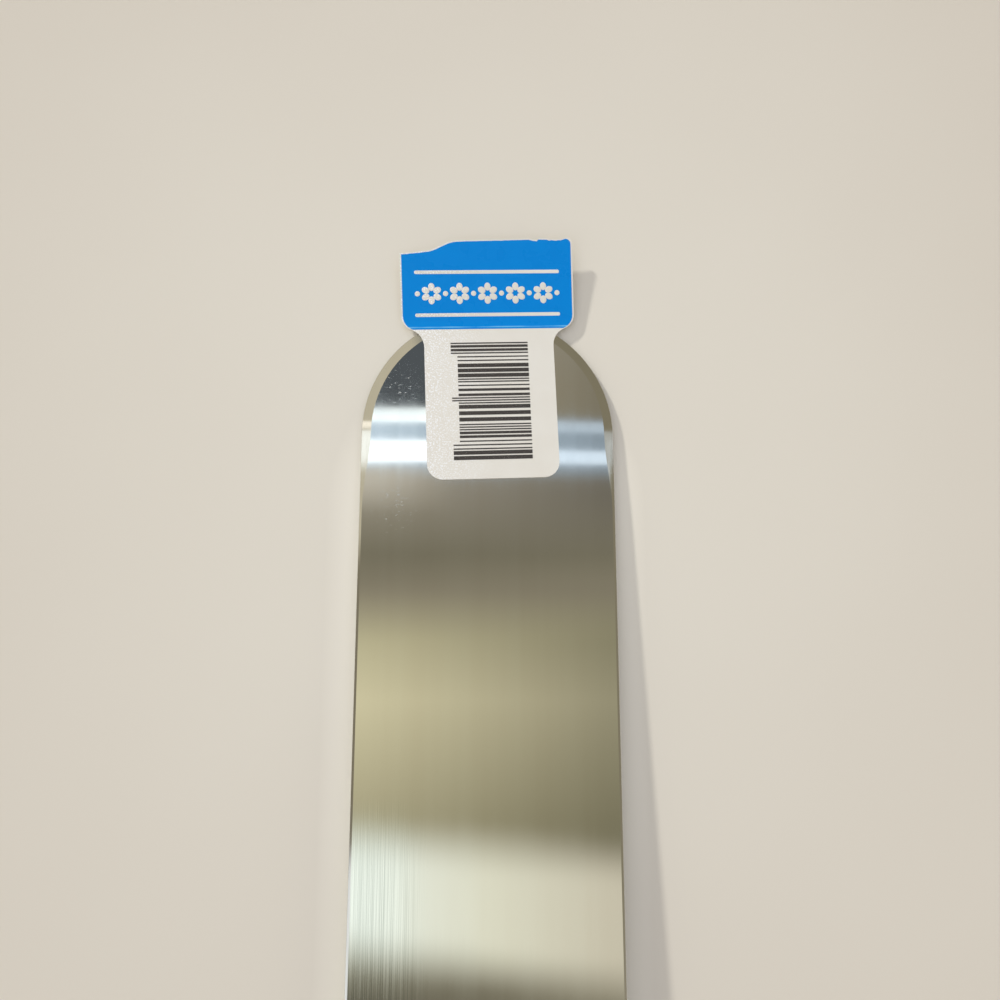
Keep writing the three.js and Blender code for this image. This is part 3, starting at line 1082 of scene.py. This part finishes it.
# Places in the room are slopes off the upright, along the blade or across it. A pair of them is where
# a tone sets in and where it is full.
SLOPE_REACH = 0.6
LOWEST = 0.05  # slopes go no lower than at this height
ROOM_TONES = (
    (-0.60, "#b9b4a8"),
    (-0.47, "#8f8a78"),
    (-0.25, "#aea88a"),
    (-0.10, "#d8d1b0"),
    (-0.02, "#c1bb9b"),
    (0.04, "#9b9481"),
    (0.09, "#888371"),
    (0.19, "#a29c8f"),
    (0.212, "#c0d5e8"),
    (0.270, "#c0d5e8"),
    (0.280, "#b0a892"),
    (0.60, "#c4beb2"),
)
ROOM_SIDES = (-0.11, 0.21)  # left and right
SIDE_LIGHT = (1.28, 0.64)  # at the left and at the right
EVEN_SLOPE = 0.072  # here the room is as bright on the right as on the left
EVEN_REACH = (0.015, 0.1)  # and this far off, it begins to differ and differs most
BACK = (-0.40, -0.45)
BACK_LIGHT = (0.58, 1.2)  # at the left and at the right
GLOW_STOPS = ((0.145, "#000000"), (0.19, "#ffffff"), (0.205, "#ffffff"), (0.212, "#000000"))
GLOW_SIDE = (0.0, -0.1)
GLOW_TONE = "#dcd6c8"
CORNER = (0.272, 0.280)
CORNER_SIDE = (0.1, 0.02)
CORNER_TONE = "#5d6369"
PANEL_ENDS = ((0.10, -0.242, -0.312), (0.14, -0.445, -0.380))  # skew, and the slopes it fades over
PANEL_TONES = ((0.0, "#f4fbf3"), (0.5, "#e8e8d6"), (1.0, "#d1cbb9"))
PANEL_GLARE = 1.3
LEFT_WALL = (-0.24, -0.34)
LEFT_WALL_TONES = ((-0.42, "#ffffff"), (-0.38, "#8d8573"), (0.10, "#8d8573"), (0.16, "#d6ceb7"))
RIGHT_WALL = (0.28, 0.38)
RIGHT_WALL_TONE = "#928b76"
HORIZON_HEIGHT = (0.62, 0.42)  # heights of a direction, not slopes
HORIZON = "#d5cfc2"
world = bpy.data.worlds.new("dim_room")
bpy.context.scene.world = world
world.use_nodes = True
tree = world.node_tree
tree.nodes.clear()


def slope_stops(stops):
    """Stops that are given by slope, as places along a ramp."""
    return [((slope + SLOPE_REACH) / (2 * SLOPE_REACH), tone) for slope, tone in stops]


direction = add_node(tree, "ShaderNodeTexCoord").outputs["Generated"]
parts = add_node(tree, "ShaderNodeSeparateXYZ", {0: direction})
height = add_node(tree, "ShaderNodeMath", {0: parts.outputs["Z"], 1: LOWEST}, operation="MAXIMUM")
along = add_node(
    tree,
    "ShaderNodeMath",
    {0: parts.outputs["Y"], 1: height.outputs[0]},
    operation="DIVIDE",
)
across = add_node(
    tree,
    "ShaderNodeMath",
    {0: parts.outputs["X"], 1: height.outputs[0]},
    operation="DIVIDE",
)
along_share = add_node(
    tree,
    "ShaderNodeMapRange",
    {"Value": along.outputs[0], "From Min": -SLOPE_REACH, "From Max": SLOPE_REACH},
)
across_share = add_node(
    tree,
    "ShaderNodeMapRange",
    {"Value": across.outputs[0], "From Min": ROOM_SIDES[0], "From Max": ROOM_SIDES[1]},
)
room = add_node(
    tree,
    "ShaderNodeValToRGB",
    {"Fac": along_share.outputs[0]},
    stops=slope_stops(ROOM_TONES),
)

# The left of the room is lighter than the right, except over the dim middle of the ceiling, and darker
# than the right at the back.
side_light = add_node(
    tree,
    "ShaderNodeMapRange",
    {"Value": across_share.outputs[0], "To Min": SIDE_LIGHT[0], "To Max": SIDE_LIGHT[1]},
)
from_even = add_node(
    tree,
    "ShaderNodeMath",
    {0: along.outputs[0], 1: EVEN_SLOPE},
    operation="SUBTRACT",
)
off_even = add_node(tree, "ShaderNodeMath", {0: from_even.outputs[0]}, operation="ABSOLUTE")
uneven = add_node(
    tree,
    "ShaderNodeMapRange",
    {"Value": off_even.outputs[0], "From Min": EVEN_REACH[0], "From Max": EVEN_REACH[1]},
)
side_share = add_node(
    tree, "ShaderNodeMix", {"Factor": uneven.outputs[0], "A": 1.0, "B": side_light.outputs[0]}
)
back_light = add_node(
    tree,
    "ShaderNodeMapRange",
    {"Value": across_share.outputs[0], "To Min": BACK_LIGHT[0], "To Max": BACK_LIGHT[1]},
)
at_back = add_node(
    tree,
    "ShaderNodeMapRange",
    {"Value": along.outputs[0], "From Min": BACK[0], "From Max": BACK[1]},
)
room_share = add_node(
    tree,
    "ShaderNodeMix",
    {"Factor": at_back.outputs[0], "A": side_share.outputs[0], "B": back_light.outputs[0]},
)
shaded = add_node(
    tree,
    "ShaderNodeVectorMath",
    {0: room.outputs[0], "Scale": room_share.outputs[0]},
    operation="SCALE",
)

# A glow beside the left lamps, and a dark corner past them.
glow = add_node(
    tree,
    "ShaderNodeValToRGB",
    {"Fac": along_share.outputs[0]},
    stops=slope_stops(GLOW_STOPS),
)
far_left = add_node(
    tree,
    "ShaderNodeMapRange",
    {"Value": across.outputs[0], "From Min": GLOW_SIDE[0], "From Max": GLOW_SIDE[1]},
)
glow_share = add_node(
    tree, "ShaderNodeMath", {0: glow.outputs[0], 1: far_left.outputs[0]}, operation="MULTIPLY"
)
with_glow = add_node(
    tree,
    "ShaderNodeMix",
    {"Factor": glow_share.outputs[0], 6: shaded.outputs[0], 7: linear(GLOW_TONE)},
    data_type="RGBA",
)
past_lamps = add_node(
    tree,
    "ShaderNodeMapRange",
    {"Value": along.outputs[0], "From Min": CORNER[0], "From Max": CORNER[1]},
)
left_half = add_node(
    tree,
    "ShaderNodeMapRange",
    {"Value": across.outputs[0], "From Min": CORNER_SIDE[0], "From Max": CORNER_SIDE[1]},
)
dark_share = add_node(
    tree,
    "ShaderNodeMath",
    {0: past_lamps.outputs[0], 1: left_half.outputs[0]},
    operation="MULTIPLY",
)
with_dark = add_node(
    tree,
    "ShaderNodeMix",
    {"Factor": dark_share.outputs[0], 6: with_glow.outputs[2], 7: linear(CORNER_TONE)},
    data_type="RGBA",
)

# A bright panel behind the camera, with soft ends that run askew.
panel_ends = []
for skew, outer, inner in PANEL_ENDS:
    askew = add_node(
        tree,
        "ShaderNodeMath",
        {0: across.outputs[0], 1: skew, 2: along.outputs[0]},
        operation="MULTIPLY_ADD",
    )
    end = add_node(
        tree,
        "ShaderNodeMapRange",
        {"Value": askew.outputs[0], "From Min": outer, "From Max": inner},
        interpolation_type="SMOOTHSTEP",
    )
    panel_ends.append(end.outputs[0])
panel = add_node(tree, "ShaderNodeMath", {0: panel_ends[0], 1: panel_ends[1]}, operation="MULTIPLY")
panel_tone = add_node(
    tree,
    "ShaderNodeValToRGB",
    {"Fac": across_share.outputs[0]},
    stops=PANEL_TONES,
)
panel_light = add_node(
    tree,
    "ShaderNodeVectorMath",
    {0: panel_tone.outputs[0], "Scale": PANEL_GLARE},
    operation="SCALE",
)
with_panel = add_node(
    tree,
    "ShaderNodeMix",
    {"Factor": panel.outputs[0], 6: with_dark.outputs[2], 7: panel_light.outputs[0]},
    data_type="RGBA",
)

# The walls, which only the ground rim mirrors, and the horizon.
left_wall = add_node(
    tree,
    "ShaderNodeMapRange",
    {"Value": across.outputs[0], "From Min": LEFT_WALL[0], "From Max": LEFT_WALL[1]},
)
wall_tone = add_node(
    tree,
    "ShaderNodeValToRGB",
    {"Fac": along_share.outputs[0]},
    stops=slope_stops(LEFT_WALL_TONES),
)
with_left = add_node(
    tree,
    "ShaderNodeMix",
    {"Factor": left_wall.outputs[0], 6: with_panel.outputs[2], 7: wall_tone.outputs[0]},
    data_type="RGBA",
)
right_wall = add_node(
    tree,
    "ShaderNodeMapRange",
    {"Value": across.outputs[0], "From Min": RIGHT_WALL[0], "From Max": RIGHT_WALL[1]},
)
with_right = add_node(
    tree,
    "ShaderNodeMix",
    {"Factor": right_wall.outputs[0], 6: with_left.outputs[2], 7: linear(RIGHT_WALL_TONE)},
    data_type="RGBA",
)
low_down = add_node(
    tree,
    "ShaderNodeMapRange",
    {"Value": parts.outputs["Z"], "From Min": HORIZON_HEIGHT[0], "From Max": HORIZON_HEIGHT[1]},
)
whole = add_node(
    tree,
    "ShaderNodeMix",
    {"Factor": low_down.outputs[0], 6: with_right.outputs[2], 7: linear(HORIZON)},
    data_type="RGBA",
)
background = add_node(tree, "ShaderNodeBackground", {"Color": whole.outputs[2], "Strength": 1.0})
add_node(tree, "ShaderNodeOutputWorld", {"Surface": background.outputs[0]})

tip = Vector((0, blade_high.y, blade_high.z))


def add_softbox(name, place, aim, size, radiance, colour, seen_in_steel=True):
    """A rectangular lamp of an even brightness. Radiance 1 looks white."""
    lamp = bpy.data.lights.new(name, "AREA")
    lamp.shape = "RECTANGLE"
    lamp.size, lamp.size_y = size
    lamp.energy = radiance * math.pi * size[0] * size[1]
    lamp.color = linear(colour)[:3]
    box = bpy.data.objects.new(name, lamp)
    bpy.context.scene.collection.objects.link(box)
    box.location = place
    box.rotation_euler = (Vector(aim) - Vector(place)).to_track_quat("-Z", "Y").to_euler()
    box.visible_camera = False
    box.visible_glossy = seen_in_steel
    return box


CEILING = 0.9  # above the tip
STRIP_LAMPS = (  # aside of the tip, ahead of it, size, brightness and colour of each
    ("front_strip_left", -0.13, 0.2285, (0.34, 0.020), 1.5, "#f0fbff"),
    ("rear_strip_left", -0.13, 0.1765, (0.34, 0.032), 1.3, "#f8fcff"),
    ("front_strip_right", 0.21, 0.2145, (0.30, 0.016), 0.42, "#dfeeff"),
    ("rear_strip_right", 0.21, 0.1705, (0.30, 0.020), 0.95, "#dfeeff"),
    ("front_strip_far_left", -0.62, 0.268, (0.56, 0.024), 0.85, "#f4f0ec"),
    ("rear_strip_far_left", -0.62, 0.238, (0.56, 0.018), 1.05, "#e4f2ff"),
    ("front_strip_far_right", 0.68, 0.256, (0.50, 0.020), 0.36, "#dfeeff"),
    ("rear_strip_far_right", 0.68, 0.243, (0.50, 0.009), 0.8, "#dfeeff"),
)
for name, aside, ahead, size, radiance, colour in STRIP_LAMPS:
    place = tip + Vector((aside, ahead, CEILING))
    add_softbox(name, place, place - Vector((0, 0, 1)), size, radiance, colour)
FILL_SIZE = (8.0, 8.0)
fill_place = tip + Vector((0, 0, 4.0))
add_softbox("ceiling_fill", fill_place, tip, FILL_SIZE, 0.54, "#d4ddff", seen_in_steel=False)

SUN_HEIGHT = math.radians(25)
SUN_FROM = Vector((-0.72, 0.69, 0)).normalized()
sun = bpy.data.objects.new("window_sun", bpy.data.lights.new("window_sun", "SUN"))
bpy.context.scene.collection.objects.link(sun)
sun.data.energy = 1.9
sun.data.angle = math.radians(4)
sun.data.color = linear("#fffdf6")[:3]
sun_direction = SUN_FROM * math.cos(SUN_HEIGHT) + Vector((0, 0, math.sin(SUN_HEIGHT)))
sun.rotation_euler = (-sun_direction).to_track_quat("-Z", "Y").to_euler()

# Camera
# A hand-held view from close above the blade, a little behind its tip, with a wide lens. It looks
# almost straight down and a little ahead.

LENS = 27.04
OFF_TIP = Vector((-7.33, -64.52, 150.7)) * MM
camera_place = tip + OFF_TIP
look = Vector((0.06312, 0.16034, -0.98504)).normalized()
image_up = (Vector((0, 1, 0)) - look * look.y).normalized()
image_right = look.cross(image_up)
camera = bpy.data.objects.new("camera", bpy.data.cameras.new("camera"))
bpy.context.scene.collection.objects.link(camera)
camera.data.lens = LENS
camera.data.sensor_width = 36
camera.data.clip_start = 0.01
camera_turn = Matrix((image_right, image_up, -look)).transposed().to_4x4()
camera.matrix_world = Matrix.Translation(camera_place) @ camera_turn
bpy.context.scene.camera = camera
bpy.context.scene.view_settings.view_transform = "Standard"
